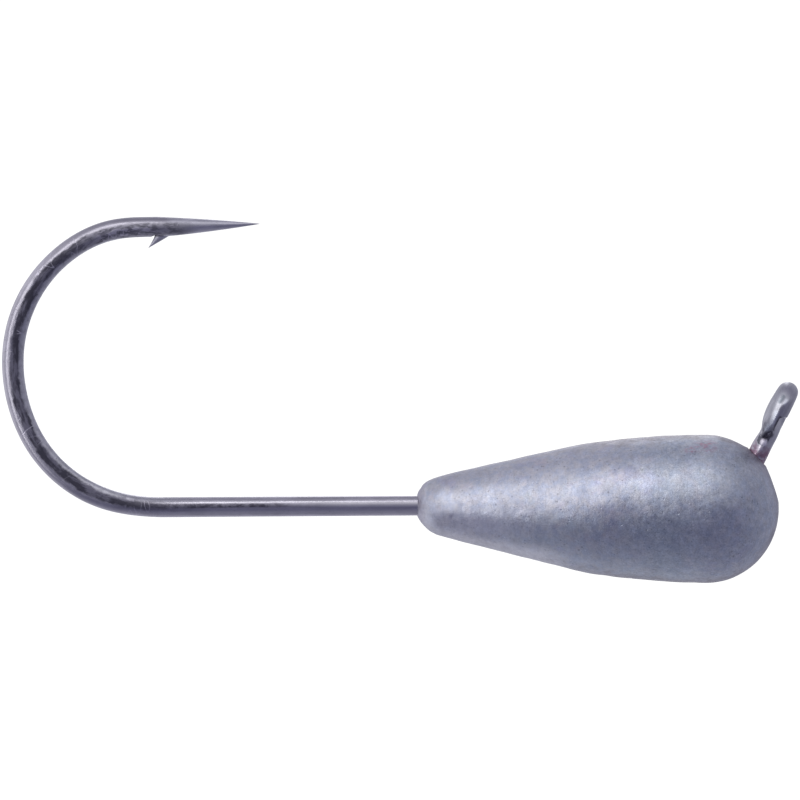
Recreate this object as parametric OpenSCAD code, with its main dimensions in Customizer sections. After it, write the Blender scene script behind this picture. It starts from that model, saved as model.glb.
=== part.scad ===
// Jig head: a lead teardrop head cast around the shank of a one-piece wire hook.
// Millimetres. The origin is the centre of the line eye, +X runs along the shank
// towards the nose of the head, +Z points to the side that the hook point is on.
// The whole hook lies in the XZ plane.

/* [Hook wire] */
// Diameter of the hook wire
wire_d = 1.15; // [1.05:0.05:1.25]
// Diameter of the neck, where the wire leaves the head and turns into the eye
neck_d = 1.12; // [0.95:0.01:1.14]
// Straight shank, from the corner of the jig bend to the start of the hook bend
shank_len = 32.6; // [30:0.05:38]

/* [Line eye] */
// Inside diameter of the eye
eye_id = 1.2; // [1.1:0.05:1.6]
// Turn of the ring about the stem, which sets its -Y side back
eye_twist = 3.3; // [0:0.1:6]
// Offset of the ring from the line of the stem
eye_offset = 0.05; // [0:0.01:0.1]
// Angle between the stem of the eye and the shank
stem_angle = 63.5; // [55:0.1:75]
// Length of the stem, from the corner of the jig bend to the centre of the eye
stem_len = 5.93; // [5.6:0.01:6.6]
// Centre-line radius of the jig bend inside the head
jig_bend_r = 2; // [1.6:0.1:2.4]
// Width of the slit where the free end of the ring closes on the neck
eye_slit = 0.06; // [0.04:0.01:0.1]

/* [Hook bend] */
// Centre-line radius of the first arc, where the shank runs into the bend
heel_r = 12.2; // [10:0.1:14]
// Sweep of the first arc
heel_a = 10; // [6:0.5:12]
// Centre-line radius of the lower arc
lower_r = 7.5; // [7:0.1:8.5]
// Sweep of the lower arc
lower_a = 55; // [45:1:60]
// Centre-line radius of the back arc
back_r = 9.3; // [8.5:0.1:10.5]
// Sweep of the back arc
back_a = 25; // [20:1:30]
// Centre-line radius of the upper arc
upper_r = 7.9; // [7.4:0.1:8.6]
// Sweep of the upper arc
upper_a = 63; // [55:1:66]
// Centre-line radius of the last arc, before the point
crook_r = 5.8; // [5:0.1:6.5]
// Sweep of the last arc
crook_a = 27.4; // [22:0.1:30]

/* [Point and barb] */
// Round wire between the end of the bend and the ground point
point_run = 1.6; // [1.2:0.1:3]
// Length of the ground point
point_len = 5.55; // [4.5:0.05:7]
// Fullness of the point: 0 is a plain cone
point_belly = 0.36; // [0:0.02:0.5]
// Lift of the point's axis, outwards from the gape
point_lift = 2; // [0:0.1:3]
// How far behind the tip of the point the barb is rooted
barb_back = 5.13; // [4.6:0.01:5.4]
// Root length of the barb along the wire
barb_root = 0.82; // [0.6:0.02:1]
// How far the barb stands off the wire
barb_height = 0.64; // [0.4:0.02:0.8]
// How far the tip of the barb rakes back behind its root
barb_rake = 0.42; // [0.2:0.02:0.6]
// Thickness of the barb
barb_t = 0.5; // [0.3:0.05:0.7]

/* [Lead head] */
// Largest diameter of the head, and of its round nose
head_d = 8.4; // [8:0.1:9.5]
// Length of the head along its own axis
head_len = 20.75; // [20:0.05:23]
// Radius of the rounded tail
tail_r = 1.7; // [1.5:0.05:2]
// Half angle of the taper
head_taper = 13.6; // [12.5:0.1:14]
// Radius of the arc that eases the taper into the shoulder
shoulder_r = 22; // [18:1:26]
// Slope left where the shoulder becomes one long arc
shoulder_a = 7.5; // [7:0.1:8]
// Droop of the head's axis below the shank
head_droop = 1.04; // [0:0.02:2]
// Distance of the tail from the corner of the jig bend
head_back = 18.17; // [17.6:0.01:18.6]
// Depth of the small flat on the upper nose, where the casting gate was trimmed
gate_flat = 0.1; // [0.05:0.01:0.15]

/* [Hidden] */
$fn = 64;
wire_r = wire_d / 2;
// How far a thinner length of wire is let into its neighbours
let_in = 0.06;
// The bore of the eye cuts a short true cylinder into the round wire of the ring
ring_r = eye_id / 2 + wire_r - 0.03;
// Length of wire that the jig bend takes from each leg of its corner
bend_leg = jig_bend_r * tan(stem_angle / 2);
// The eye sits square on the stem at this distance from the end of the jig bend
stem_run = stem_len - ring_r - bend_leg;
// Corner of the jig bend, found back along the stem from the centre of the eye
corner = [-stem_len * cos(stem_angle) + eye_offset * sin(stem_angle),
          -stem_len * sin(stem_angle) - eye_offset * cos(stem_angle)];

nose_r = head_d / 2;
nose_x = head_len - nose_r;
// Point where the round tail runs into the taper
tail_x = tail_r * (1 - sin(head_taper));
tail_y = tail_r * cos(head_taper);
// Where the taper ends, so that the two shoulder arcs finish level at the nose
taper_k = 1 / tan(shoulder_a / 2);
taper_x = (nose_x - shoulder_r * (sin(head_taper) - sin(shoulder_a))
           - taper_k * (nose_r - tail_y + tan(head_taper) * tail_x
                        - shoulder_r * (cos(shoulder_a) - cos(head_taper))))
          / (1 - taper_k * tan(head_taper));
taper_y = tail_y + tan(head_taper) * (taper_x - tail_x);
belly_x = taper_x + shoulder_r * (sin(head_taper) - sin(shoulder_a));
belly_y = taper_y + shoulder_r * (cos(shoulder_a) - cos(head_taper));
belly_r = (nose_r - belly_y) / (1 - cos(shoulder_a));

// Half section of the head: round tail, taper, two shoulder arcs, round nose
tail_pts = [for (i = [0:16]) let (a = i * (90 - head_taper) / 16)
            [tail_r * (1 - cos(a)), tail_r * sin(a)]];
shoulder_pts = [for (i = [0:6]) let (a = head_taper + (shoulder_a - head_taper) * i / 6)
                [taper_x + shoulder_r * (sin(head_taper) - sin(a)),
                 taper_y + shoulder_r * (cos(a) - cos(head_taper))]];
belly_pts = [for (i = [1:8]) let (a = shoulder_a * (1 - i / 8))
             [belly_x + belly_r * (sin(shoulder_a) - sin(a)),
              belly_y + belly_r * (cos(a) - cos(shoulder_a))]];
nose_pts = [for (i = [1:30]) [nose_x + nose_r * sin(3 * i), nose_r * cos(3 * i)]];
head_pts = concat(tail_pts, shoulder_pts, belly_pts, nose_pts);

// Half section of the ground point, let into the wire: t = 1 at the wire and 0 at the tip,
// which is left a hair blunt
function point_r(t) = 0.012 + (wire_r - 0.024) * t * (1 + point_belly * (1 - t));
point_pts = concat([[0, -let_in], [point_r(1), -let_in]],
                   [for (i = [0:12]) [point_r(1 - i / 12), point_len * i / 12]],
                   [[0, point_len]]);

// Wire that runs along +X for len, drawn from the origin, with what follows it. Lengths
// of wire are drawn in turn at full size and a hair thinner, and a thinner one is let a
// little way into both of its neighbours
module run(len, d = wire_d, let_in = 0) {
    translate([-let_in, 0, 0]) rotate([0, 90, 0]) cylinder(d = d, h = len + 2 * let_in);
    translate([len, 0, 0]) children();
}

// Wire that turns to the left through a with centre-line radius r, then what follows it
module turn(r, a, thin = false) {
    over = thin ? let_in / r * 180 / PI : 0;
    translate([0, r, 0]) rotate([0, 0, -90 - over]) rotate_extrude(angle = a + 2 * over)
        translate([r, 0]) circle(d = thin ? wire_d - 0.01 : wire_d);
    translate([0, r, 0]) rotate([0, 0, a]) translate([0, -r, 0]) children();
}

// Jig bend and the stem up to the eye, from the corner of the bend, with the shank behind it
module cast_in_wire(tail) {
    translate([corner[0], 0, corner[1]]) {
        translate([-bend_leg, 0, 0]) rotate([90, 0, 0])
            turn(jig_bend_r, stem_angle, true) run(stem_run, neck_d, let_in);
        translate([-bend_leg, 0, 0]) rotate([90, 0, 180]) run(tail - bend_leg) children();
    }
}

// Ring of the eye about the origin, square to the stem, open for the line
module eye_ring() {
    rotate([0, 90 - stem_angle, 0]) rotate([0, 0, -eye_twist]) rotate([0, 90, 0])
        rotate_extrude() translate([ring_r, 0]) circle(d = wire_d);
}

// What the line passes through, and the slit beside the neck on the -Y side
module eye_cuts() {
    rotate([0, 90 - stem_angle, 0]) rotate([0, 0, -eye_twist]) {
        translate([-2, 0, 0]) rotate([0, 90, 0]) cylinder(d = eye_id, h = 4);
        rotate([60, 0, 0]) translate([-1, -ring_r - wire_d, -eye_slit])
            cube([2, wire_d * 1.7, eye_slit]);
    }
}

// Sliver cut up from the inner side of the point, raked back
module barb() {
    translate([0, 0, -barb_t / 2]) linear_extrude(height = barb_t)
        polygon([[0, -wire_r * 0.35], [0, wire_r * 0.94],
                 [-barb_root - barb_rake, wire_r + barb_height],
                 [-barb_root, wire_r * 0.98], [-barb_root, -wire_r * 0.35]]);
}

// Ground point along +X from its base, with the barb on its inner side
module point() {
    rotate([0, 0, -point_lift]) {
        rotate([0, 90, 0]) rotate_extrude() polygon(point_pts);
        translate([point_len - barb_back, 0, 0]) barb();
    }
}

// Solid of the casting before the wire is in it
module teardrop() {
    translate([corner[0] - head_back, 0, corner[1]]) rotate([0, head_droop, 0])
        difference() {
            rotate([0, 90, 0]) rotate_extrude($fn = 96) polygon([for (p = head_pts) [p[1], p[0]]]);
            translate([nose_x, 0, 0]) rotate([0, -19.5, 0]) translate([nose_r - gate_flat, -3, -3]) cube([2, 6, 6]);
        }
}

module lead_head() {
    color([0.62, 0.64, 0.68])
        difference() {
            teardrop();
            cast_in_wire(head_back + 3);
        }
}

module hook() {
    color([0.27, 0.26, 0.31])
        difference() {
            union() {
                eye_ring();
                cast_in_wire(shank_len)
                    turn(heel_r, heel_a, true) turn(lower_r, lower_a) turn(back_r, back_a, true)
                    turn(upper_r, upper_a) turn(crook_r, crook_a, true)
                    run(point_run) point();
            }
            eye_cuts();
        }
}

lead_head();
hook();
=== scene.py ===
"""Looks of the jig head: the lead casting and its wire hook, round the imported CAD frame.

Lengths below are in millimetres until a mesh is made, which is in metres like the frame.
"""

import math

import bmesh
import bpy
import numpy as np
from mathutils import Matrix, Vector
from mathutils.kdtree import KDTree


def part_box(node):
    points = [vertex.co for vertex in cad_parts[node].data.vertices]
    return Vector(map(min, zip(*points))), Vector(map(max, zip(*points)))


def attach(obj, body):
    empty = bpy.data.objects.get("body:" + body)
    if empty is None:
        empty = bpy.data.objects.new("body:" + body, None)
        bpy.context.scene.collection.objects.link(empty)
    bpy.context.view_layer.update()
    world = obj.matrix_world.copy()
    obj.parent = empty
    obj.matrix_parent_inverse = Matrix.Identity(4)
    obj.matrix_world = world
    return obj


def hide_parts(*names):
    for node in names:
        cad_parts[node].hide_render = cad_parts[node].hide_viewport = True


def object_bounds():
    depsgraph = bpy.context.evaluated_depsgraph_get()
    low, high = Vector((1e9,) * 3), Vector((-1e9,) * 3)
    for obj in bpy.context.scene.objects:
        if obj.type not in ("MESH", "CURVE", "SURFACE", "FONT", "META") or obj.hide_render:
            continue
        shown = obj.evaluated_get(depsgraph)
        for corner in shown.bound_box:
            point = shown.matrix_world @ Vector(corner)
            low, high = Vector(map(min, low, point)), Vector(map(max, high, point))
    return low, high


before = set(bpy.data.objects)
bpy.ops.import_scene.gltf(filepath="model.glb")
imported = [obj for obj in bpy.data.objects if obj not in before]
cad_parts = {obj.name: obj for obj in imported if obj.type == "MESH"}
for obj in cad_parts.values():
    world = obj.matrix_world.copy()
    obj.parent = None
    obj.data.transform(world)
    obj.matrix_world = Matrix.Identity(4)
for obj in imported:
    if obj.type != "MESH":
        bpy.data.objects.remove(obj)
cad_lo, cad_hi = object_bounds()

MM = 0.001
head_lo, head_hi = (np.array(v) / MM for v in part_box("lead_head"))
hook_lo, hook_hi = (np.array(v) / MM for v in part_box("hook"))


# ------------------------------------------------------------------ noise and meshes


def noise(p, seed):
    """Smooth noise from about -1 to 1 at the points p, with features about one unit across."""
    rng = np.random.default_rng(seed)
    perm = np.concatenate([rng.permutation(256)] * 3)
    grad = rng.normal(size=(256, 3))
    grad /= np.linalg.norm(grad, axis=1)[:, None]
    cell = np.floor(p).astype(int)
    f = p - cell
    fade = f * f * f * (f * (f * 6 - 15) + 10)
    total = np.zeros(len(p))
    for dx in (0, 1):
        for dy in (0, 1):
            for dz in (0, 1):
                c = (cell + [dx, dy, dz]) & 255
                g = grad[perm[perm[perm[c[:, 0]] + c[:, 1]] + c[:, 2]] & 255]
                w = np.ones(len(p))
                for axis, d in enumerate((dx, dy, dz)):
                    w = w * (fade[:, axis] if d else 1 - fade[:, axis])
                total += w * (g * (f - [dx, dy, dz])).sum(1)
    return total * 1.6


def smooth_step(x, low, high):
    t = np.clip((x - low) / (high - low), 0, 1)
    return t * t * (3 - 2 * t)


def make_object(name, verts, faces):
    """A mesh object from points in millimetres."""
    mesh = bpy.data.meshes.new(name)
    mesh.from_pydata((np.asarray(verts, float) * MM).tolist(), [], faces)
    mesh.validate()
    bm = bmesh.new()
    bm.from_mesh(mesh)
    bmesh.ops.recalc_face_normals(bm, faces=bm.faces)
    if bm.calc_volume(signed=True) < 0:
        bmesh.ops.reverse_faces(bm, faces=bm.faces)
    bm.to_mesh(mesh)
    bm.free()
    obj = bpy.data.objects.new(name, mesh)
    bpy.context.scene.collection.objects.link(obj)
    return obj


def combine(obj, other, operation):
    """Boolean of obj with other, which is removed. The meshes are closed, so the manifold solver suits."""
    for mesh in (obj.data, other.data):
        bm = bmesh.new()
        bm.from_mesh(mesh)
        bmesh.ops.triangulate(bm, faces=bm.faces)
        bm.to_mesh(mesh)
        bm.free()
    kept = obj.data
    for solver in ("MANIFOLD", "EXACT"):
        mod = obj.modifiers.new("combine", "BOOLEAN")
        mod.operation, mod.object, mod.solver = operation, other, solver
        made = bpy.data.meshes.new_from_object(
            obj.evaluated_get(bpy.context.evaluated_depsgraph_get())
        )
        obj.modifiers.remove(mod)
        if len(made.vertices) and len(made.vertices) != len(kept.vertices):
            obj.data = made
            break
    bpy.data.objects.remove(other)
    return obj


def finish_mesh(obj, sharp_deg=42.0):
    """Clears slivers, then shades smooth with the true creases kept sharp."""
    bm = bmesh.new()
    bm.from_mesh(obj.data)
    bmesh.ops.remove_doubles(bm, verts=bm.verts, dist=1e-8)
    bmesh.ops.dissolve_degenerate(bm, dist=1e-8, edges=bm.edges)
    bmesh.ops.triangulate(bm, faces=[f for f in bm.faces if len(f.verts) > 4])
    # Each piece is one closed skin. A sheet or flap that hangs on edges of three or more faces is
    # left over from a cut, so only the largest patch between such edges stays
    todo, largest = set(bm.faces), []
    while todo:
        patch, front = [], [todo.pop()]
        while front:
            f = front.pop()
            patch.append(f)
            for e in f.edges:
                if len(e.link_faces) == 2:
                    for other in e.link_faces:
                        if other in todo:
                            todo.remove(other)
                            front.append(other)
        if len(patch) > len(largest):
            largest = patch
    body = set(largest)
    bmesh.ops.delete(bm, geom=[f for f in bm.faces if f not in body], context="FACES")
    loose = [v for v in bm.verts if not v.link_faces]
    bmesh.ops.delete(bm, geom=loose, context="VERTS")
    bm.normal_update()
    for f in bm.faces:
        f.smooth = True
    for e in bm.edges:
        e.smooth = not (
            e.is_manifold and e.calc_face_angle(0.0) > math.radians(sharp_deg)
        )
    bm.to_mesh(obj.data)
    bm.free()
    obj.data.update()


# ------------------------------------------------------------------ lead casting

NOSE_R = (head_hi[1] - head_lo[1]) / 2
HEAD_LEN, TAIL_R = 20.75, 1.7
TAPER, SHOULDER_R, SHOULDER_A, DROOP = (
    math.radians(13.6),
    22.0,
    math.radians(7.5),
    math.radians(1.04),
)
NOSE_X = HEAD_LEN - NOSE_R
nose_c = np.array([head_hi[0] - NOSE_R, 0.0, head_lo[2] + NOSE_R])
head_d = np.array([math.cos(DROOP), 0.0, -math.sin(DROOP)])
head_u = np.array([math.sin(DROOP), 0.0, math.cos(DROOP)])
side = np.array([0.0, 1.0, 0.0])
tail_p = nose_c - NOSE_X * head_d

# The hook: wire radius, the line of the shank and the corner of its jig bend, under the eye
WIRE_R = 0.575
shank_z = hook_lo[2] + WIRE_R
STEM_A, STEM_LEN, EYE_OFF = math.radians(63.5), 5.93, 0.05
corner = np.array(
    [
        -STEM_LEN * math.cos(STEM_A) + EYE_OFF * math.sin(STEM_A),
        0.0,
        shank_z,
    ]
)
stem_q = np.array([math.cos(STEM_A), 0.0, math.sin(STEM_A)])
stem_n = np.array([math.sin(STEM_A), 0.0, -math.cos(STEM_A)])


def head_profile(step):
    """Points of the half section (distance along the axis, radius, slope), evenly spaced."""
    tail_x, tail_y = TAIL_R * (1 - math.sin(TAPER)), TAIL_R * math.cos(TAPER)
    k = 1 / math.tan(SHOULDER_A / 2)
    taper_x = (
        NOSE_X
        - SHOULDER_R * (math.sin(TAPER) - math.sin(SHOULDER_A))
        - k
        * (
            NOSE_R
            - tail_y
            + math.tan(TAPER) * tail_x
            - SHOULDER_R * (math.cos(SHOULDER_A) - math.cos(TAPER))
        )
    ) / (1 - k * math.tan(TAPER))
    taper_y = tail_y + math.tan(TAPER) * (taper_x - tail_x)
    belly_x = taper_x + SHOULDER_R * (math.sin(TAPER) - math.sin(SHOULDER_A))
    belly_y = taper_y + SHOULDER_R * (math.cos(SHOULDER_A) - math.cos(TAPER))
    belly_r = (NOSE_R - belly_y) / (1 - math.cos(SHOULDER_A))
    pts = []
    for a in np.linspace(0, math.pi / 2 - TAPER, 200)[:-1]:
        pts.append((TAIL_R * (1 - math.cos(a)), TAIL_R * math.sin(a), math.pi / 2 - a))
    for t in np.linspace(0, 1, 60)[:-1]:
        pts.append((tail_x + t * (taper_x - tail_x), tail_y + t * (taper_y - tail_y), TAPER))
    for a in np.linspace(TAPER, SHOULDER_A, 60)[:-1]:
        pts.append(
            (
                taper_x + SHOULDER_R * (math.sin(TAPER) - math.sin(a)),
                taper_y + SHOULDER_R * (math.cos(a) - math.cos(TAPER)),
                a,
            )
        )
    for a in np.linspace(SHOULDER_A, 0, 60)[:-1]:
        pts.append(
            (
                belly_x + belly_r * (math.sin(SHOULDER_A) - math.sin(a)),
                belly_y + belly_r * (math.cos(a) - math.cos(SHOULDER_A)),
                a,
            )
        )
    for a in np.linspace(0, math.pi / 2, 300):
        pts.append((NOSE_X + NOSE_R * math.sin(a), NOSE_R * math.cos(a), -a))
    pts = np.array(pts)
    s = np.concatenate([[0], np.cumsum(np.hypot(*np.diff(pts[:, :2], axis=0).T))])
    at = np.linspace(0, s[-1], int(round(s[-1] / step)) + 1)
    x, r, slope = (np.interp(at, s, pts[:, i]) for i in range(3))
    # A casting has no hard change of curve: ease the profile where the round tail meets the taper
    pad = 12
    win = np.exp(-((np.arange(-pad, pad + 1) * step / 0.30) ** 2) / 2)
    win /= win.sum()
    soft_x = np.convolve(np.concatenate([x[pad:0:-1], x, x[-2 : -pad - 2 : -1]]), win, "valid")
    soft_r = np.convolve(np.concatenate([-r[pad:0:-1], r, -r[-2 : -pad - 2 : -1]]), win, "valid")
    soft_slope = np.convolve(
        np.concatenate([math.pi - slope[pad:0:-1], slope, -math.pi - slope[-2 : -pad - 2 : -1]]), win, "valid"
    )
    ease = 1 - smooth_step(x, 4.5, 7.0)
    x, r, slope = (
        hard + ease * (eased - hard)
        for hard, eased in ((x, soft_x), (r, soft_r), (slope, soft_slope))
    )
    r[0] = r[-1] = 0
    return np.array([x, r, slope]).T


def build_head():
    prof = head_profile(0.1)
    # Columns round the axis, closer together at the parting line on the top and bottom
    even = np.linspace(0, 2 * math.pi, 240, endpoint=False)
    fine = np.array([-0.13, -0.085, -0.04, 0.0, 0.04, 0.085, 0.13]) / NOSE_R
    keep = [
        a
        for a in even
        if min(abs(a - math.pi / 2), abs(a - 3 * math.pi / 2)) > 0.16 / NOSE_R
    ]
    cols = np.sort(np.concatenate([keep, math.pi / 2 + fine, 3 * math.pi / 2 + fine]))
    inner = prof[1:-1]
    m, n = len(inner), len(cols)
    x, r, slope = (np.repeat(inner[:, i], n) for i in range(3))
    a = np.tile(cols, m)
    radial = np.cos(a)[:, None] * side + np.sin(a)[:, None] * head_u
    p = tail_p + x[:, None] * head_d + r[:, None] * radial
    nrm = np.cos(slope)[:, None] * radial - np.sin(slope)[:, None] * head_d
    poles = np.array([tail_p, tail_p + HEAD_LEN * head_d])
    p = np.vstack([p, poles])
    nrm = np.vstack([nrm, -head_d, head_d])

    # The casting is not quite round about its axis: slow swells on its upper and lower edges
    up = (nrm @ head_u).clip(-1, 1)
    px = p[:, 0]
    rise = np.interp(px, [-19.2, -17.5, -16.3, -14, -12, -10.5, -9.2, -7.4, -5, -3.6, -2.2],
                     [0.015, 0.035, 0.012, 0.012, -0.015, -0.036, -0.026, 0.004, 0.012, 0.034, 0.0]) * up.clip(0, 1) ** 2
    rise += np.interp(px, [-19.2, -17.5, -16.3, -14, -12, -10.5, -9.2, -7.4, -5, -2.8, -1.2, -0.2],
                      [0.0, 0.024, 0.006, 0.022, 0.035, 0.052, 0.024, 0.006, 0.0, 0.040, 0.052, 0.058]) * (-up).clip(0, 1) ** 1.5
    tail_lift = np.exp(-(((px + 20.32) / 0.36) ** 2)) * 0.07

    rng = np.random.default_rng(7)
    # Cast skin: slow waves, then finer ones, which the mould and tumbling leave
    rise += 0.026 * noise(p / 4.3 + 11.3, 1)
    rise += 0.009 * noise(p / 1.5 + 3.1, 2)
    rise += 0.0038 * noise(p / 0.52 + 7.7, 3)
    # Short dings and pits
    for _ in range(16):
        at = p[rng.integers(0, m * n)]
        w, d = rng.uniform(0.35, 0.9), rng.uniform(0.008, 0.022)
        rise -= d * np.exp(-(((p - at) ** 2).sum(1)) / w**2)
    for _ in range(150):
        at = p[rng.integers(0, m * n)]
        w, d = rng.uniform(0.07, 0.17), rng.uniform(0.006, 0.02)
        dist = ((p - at) ** 2).sum(1) / w**2
        rise += d * (-1.25 * np.exp(-dist) + 0.25 * np.exp(-dist / 2.2))
    # The two halves of the mould meet in the plane of the hook: a hair of a step, and a thin
    # broken line of flash
    y = p[:, 1]
    edge = np.clip(r_of(p), 0.4, None)
    rise += 0.007 * np.tanh(y / 0.05) * smooth_step(edge, 0.5, 1.2)
    flash = 0.5 + 0.9 * noise(np.column_stack([p[:, 0] / 1.1, p[:, 2] / 1.1, y * 0]) + 5.5, 4)
    rise += 0.02 * np.clip(flash, 0.12, 1.3) * np.exp(-((y / 0.06) ** 2))
    # Lead that wets the wire where it leaves: a low collar with a crease at the wire
    to_stem = p - corner
    along = to_stem @ stem_q
    off = np.linalg.norm(to_stem - along[:, None] * stem_q, axis=1)
    rise += 0.045 * np.exp(-(((off - 0.66) / 0.17) ** 2)) * (along > 0)
    rise -= 0.05 * np.exp(-(((off - 0.5) / 0.1) ** 2)) * (along > 0)
    to_tail = np.hypot(p[:, 1], p[:, 2] - shank_z)
    at_tail = p[:, 0] < tail_p[0] + 2
    rise += 0.012 * np.exp(-(((to_tail - 0.72) / 0.10) ** 2)) * at_tail
    p = p + rise[:, None] * nrm + tail_lift[:, None] * head_u
    # Flat on the upper nose, where the gate was cut off and dressed
    g = math.radians(19.5)
    cut = math.cos(g) * head_d + math.sin(g) * head_u
    over = (p - nose_c) @ cut - (NOSE_R - 0.1)
    over += 0.006 * noise(p / 0.35, 8)
    soft = 0.012
    lowered = soft * np.log1p(np.exp(np.clip(over / soft, -40, 40)))
    p = p - lowered[:, None] * cut

    faces = []
    idx = np.arange(m * n).reshape(m, n)
    nxt = np.roll(idx, -1, axis=1)
    for i in range(m - 1):
        faces += np.column_stack([idx[i], nxt[i], nxt[i + 1], idx[i + 1]]).tolist()
    faces += np.column_stack([np.full(n, m * n), nxt[0], idx[0]]).tolist()
    faces += np.column_stack([np.full(n, m * n + 1), idx[-1], nxt[-1]]).tolist()
    return make_object("lead_casting", p, faces)


def r_of(p):
    """Distance from the head's own axis."""
    rel = p - tail_p
    return np.linalg.norm(rel - (rel @ head_d)[:, None] * head_d, axis=1)


# ------------------------------------------------------------------ hook

BEND_LEG = 2.0 * math.tan(STEM_A / 2)
SHANK_RUN = 32.6 - BEND_LEG
ARCS = [(12.2, 10), (7.5, 55), (9.3, 25), (7.9, 63), (5.8, 27.4)]
POINT_RUN, POINT_LEN, POINT_LIFT = 1.6, 5.55, 2.0
BEND_LEN = sum(r * math.radians(a) for r, a in ARCS)
DS = 0.02


def bend_line():
    """The wire's line from the start of the bend to the tip, in the plane of the hook:
    (distance, X, Z), with the steps in curvature between its arcs eased."""
    lengths = [r * math.radians(a) for r, a in ARCS] + [POINT_RUN + POINT_LEN]
    curves = [1 / r for r, _ in ARCS] + [0.0]
    edges = np.concatenate([[0], np.cumsum(lengths)])
    s = np.arange(-4, edges[-1] + 4, DS)
    k = np.zeros_like(s)
    for c, a, b in zip(curves, edges, edges[1:]):
        k[(s >= a) & (s < b)] = c
    k_lift = np.zeros_like(s)
    k_lift[np.abs(s - (edges[-1] - POINT_LEN)) < 0.4] = -math.radians(POINT_LIFT) / 0.8
    k = k + k_lift
    width = np.arange(-2.4, 2.4 + DS / 2, DS)
    kernel = np.exp(-((width / 0.75) ** 2) / 2)
    eased = np.convolve(k, kernel / kernel.sum(), "same")

    def walk(curve):
        h = np.concatenate([[0], np.cumsum((curve[1:] + curve[:-1]) / 2) * DS])
        dx, dz = -np.cos(h), np.sin(h)
        x = np.concatenate([[0], np.cumsum((dx[1:] + dx[:-1]) / 2) * DS])
        z = np.concatenate([[0], np.cumsum((dz[1:] + dz[:-1]) / 2) * DS])
        return x, z

    sharp, soft = walk(k), walk(eased)
    use = (s >= -1e-9) & (s <= edges[-1] + 1e-9)
    first = int(np.argmax(use))
    out = []
    for a, b in zip(sharp, soft):
        a, b = a - a[first], b - b[first]
        drift = (a - b)[use][-1]
        out.append(b[use] + drift * smooth_step(s[use], 0, edges[-1]))
    return s[use], out[0], out[1]


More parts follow.
